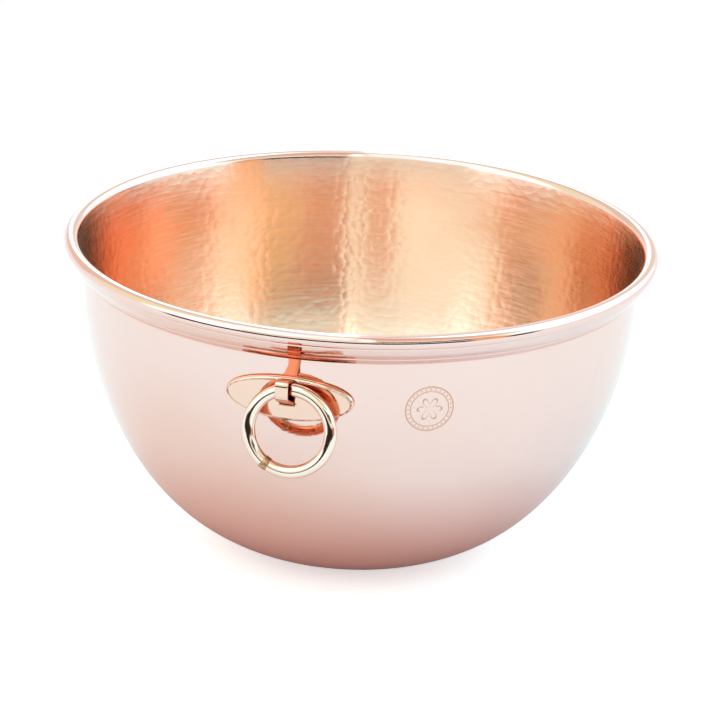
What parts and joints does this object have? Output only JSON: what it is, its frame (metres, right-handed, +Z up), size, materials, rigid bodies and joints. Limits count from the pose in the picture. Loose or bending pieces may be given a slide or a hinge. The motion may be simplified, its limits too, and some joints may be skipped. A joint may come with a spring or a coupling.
{
  "type": "copper mixing bowl",
  "caption": "Round-bottomed copper mixing bowl, hammered inside and polished outside, with a wired rolled rim and a swinging hanging ring held by a strap on an oval plate.",
  "frame": {"origin": "centre of the flat base, on the surface the bowl stands on", "axes": "+Z up along the bowl's axis, the hanging ring is on the -Y side, +X to the right when facing the ring"},
  "size_m": [0.26, 0.2649, 0.1403],
  "materials": {
    "bowl_copper": "copper, mirror polished outside, hand hammered and polished inside",
    "bracket_copper": "polished copper",
    "ring_metal": "polished",
    "braze": "filed, slightly rough",
    "wire_steel": "bare drawn wire, hidden inside the rim"
  },
  "bodies": {
    "bowl": {"bowl_shell": "bowl_copper", "rim_wire": "wire_steel", "backplate": "bracket_copper", "ring_strap": "bracket_copper"},
    "ring": {"hanging_ring": "ring_metal", "ring_braze": "braze"}
  },
  "joints": [
    {"name": "ring_swing", "type": "hinge", "parent": "bowl", "child": "ring", "pos_m": [0, -0.1275, 0.1142], "axis": [-1, 0, 0], "range_deg": [-17, 155]}
  ]
}
